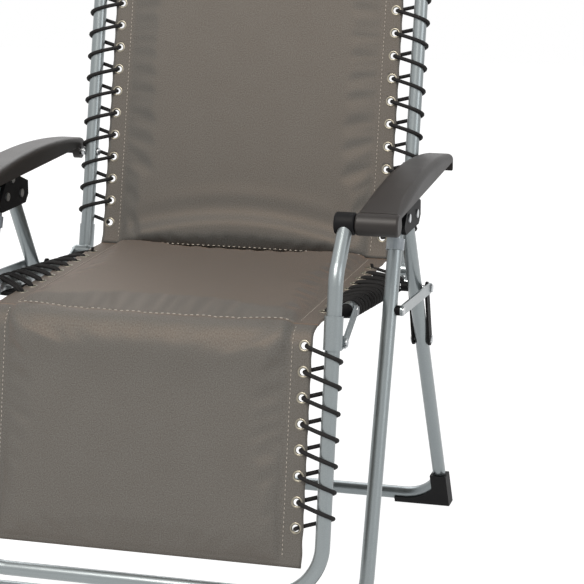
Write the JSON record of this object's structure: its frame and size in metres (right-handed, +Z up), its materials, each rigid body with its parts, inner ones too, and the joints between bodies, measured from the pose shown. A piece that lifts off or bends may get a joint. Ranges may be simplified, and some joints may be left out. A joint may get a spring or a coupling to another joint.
{
  "type": "relaxation lounger",
  "caption": "Folding tubular-steel relaxation lounger: a laced padded sling on hinged back, seat and legrest frames that recline together between moulded arms.",
  "frame": {"origin": "on the floor, under the middle of the lounger's box", "axes": "+Z up, the sitter looks along -Y, +X is the sitter's left"},
  "size_m": [0.6502, 0.6952, 1.1627],
  "materials": {
    "tube_paint": "satin silver-grey powder coat",
    "black_plastic": "moulded, matte",
    "arm_plastic": "moulded, satin",
    "nylon": "moulded nylon",
    "steel": "zinc plated",
    "sling_cloth": "woven and padded",
    "eyelet_metal": "pressed, nickel plated",
    "elastic_cord": "braided elastic"
  },
  "bodies": {
    "rear_frame": {"rear_leg_frame": "tube_paint", "rear_foot_left": "black_plastic", "rear_foot_right": "black_plastic", "apex_plates_left": "black_plastic", "apex_plates_right": "black_plastic", "apex_rivets": "steel", "arm_rollers": "nylon", "fork_rivets": "steel"},
    "front_frame": {"front_leg_frame": "tube_paint", "front_foot_left": "black_plastic", "front_foot_right": "black_plastic", "stay_studs": "black_plastic", "leg_collars": "nylon"},
    "forks": {"swing_fork_left": "black_plastic", "swing_fork_right": "black_plastic"},
    "stays": {"stay_link_left": "steel", "stay_link_right": "steel", "stay_rivets": "steel"},
    "seat": {"seat_tube_left": "tube_paint", "seat_tube_right": "tube_paint", "back_hinge_plate_left": "tube_paint", "back_hinge_plate_right": "tube_paint", "knee_hinge_plate_left": "tube_paint", "knee_hinge_plate_right": "tube_paint", "seat_rivets": "steel", "back_hinge_pins": "steel", "knee_hinge_pins": "steel", "seat_pivot_pins": "steel", "seat_pivot_bushes": "black_plastic", "seat_pad": "sling_cloth", "seat_eyelets": "eyelet_metal", "seat_lacing_left": "elastic_cord", "seat_lacing_right": "elastic_cord"},
    "back": {"back_frame": "tube_paint", "back_sleeve_left": "tube_paint", "back_sleeve_right": "tube_paint", "arm_pivot_pins": "steel", "back_pad": "sling_cloth", "back_eyelets": "eyelet_metal", "back_lacing_left": "elastic_cord", "back_lacing_right": "elastic_cord"},
    "legrest": {"legrest_frame": "tube_paint", "knee_sleeve_left": "tube_paint", "knee_sleeve_right": "tube_paint", "legrest_pad": "sling_cloth", "legrest_eyelets": "eyelet_metal", "legrest_lacing_left": "elastic_cord", "legrest_lacing_right": "elastic_cord", "arm_knuckle_left": "black_plastic", "arm_knuckle_right": "black_plastic"},
    "arms": {"armrest_left": "arm_plastic", "armrest_right": "arm_plastic", "arm_front_pins": "steel", "arm_rail_left": "steel", "arm_rail_right": "steel", "lever_pins": "steel"},
    "lever_left": {"lock_lever_left": "black_plastic"},
    "lever_right": {"lock_lever_right": "black_plastic"}
  },
  "joints": [
    {"name": "front_leg_fold", "type": "hinge", "parent": "rear_frame", "child": "front_frame", "pos_m": [0, -0.07881, 0.533], "axis": [-1, 0, 0], "range_deg": [-40, 0]},
    {"name": "fork_swing", "type": "hinge", "parent": "rear_frame", "child": "forks", "pos_m": [0, 0.09838, 0.318], "axis": [-1, 0, 0], "range_deg": [0, 58.6]},
    {"name": "stay_swing", "type": "hinge", "parent": "forks", "child": "stays", "pos_m": [0, 0.07, 0.402], "axis": [-1, 0, 0], "range_deg": [-53.7, 0]},
    {"name": "seat_recline", "type": "hinge", "parent": "forks", "child": "seat", "pos_m": [0, 0.07, 0.402], "axis": [-1, 0, 0], "range_deg": [0, 18]},
    {"name": "back_recline", "type": "hinge", "parent": "seat", "child": "back", "pos_m": [0, 0.146, 0.409], "axis": [-1, 0, 0], "range_deg": [0, 30.5]},
    {"name": "legrest_raise", "type": "hinge", "parent": "seat", "child": "legrest", "pos_m": [0, -0.258, 0.401], "axis": [-1, 0, 0], "range_deg": [0, 30.5]},
    {"name": "arm_swing", "type": "hinge", "parent": "back", "child": "arms", "pos_m": [0, 0.197, 0.556], "axis": [-1, 0, 0], "range_deg": [-30.5, 0]},
    {"name": "lock_lever_left_turn", "type": "hinge", "parent": "arms", "child": "lever_left", "pos_m": [0, 0.109, 0.56526], "axis": [-1, 0, 0], "range_deg": [-20, 0]},
    {"name": "lock_lever_right_turn", "type": "hinge", "parent": "arms", "child": "lever_right", "pos_m": [0, 0.109, 0.56526], "axis": [-1, 0, 0], "range_deg": [-20, 0]}
  ],
  "couplings": [
    {"joint": "fork_swing", "follows": "front_leg_fold", "ratio": -1.4525},
    {"joint": "stay_swing", "follows": "front_leg_fold", "ratio": 1.33},
    {"joint": "back_recline", "follows": "seat_recline", "ratio": 1.6667},
    {"joint": "legrest_raise", "follows": "seat_recline", "ratio": 1.6667},
    {"joint": "arm_swing", "follows": "seat_recline", "ratio": -1.6667}
  ]
}
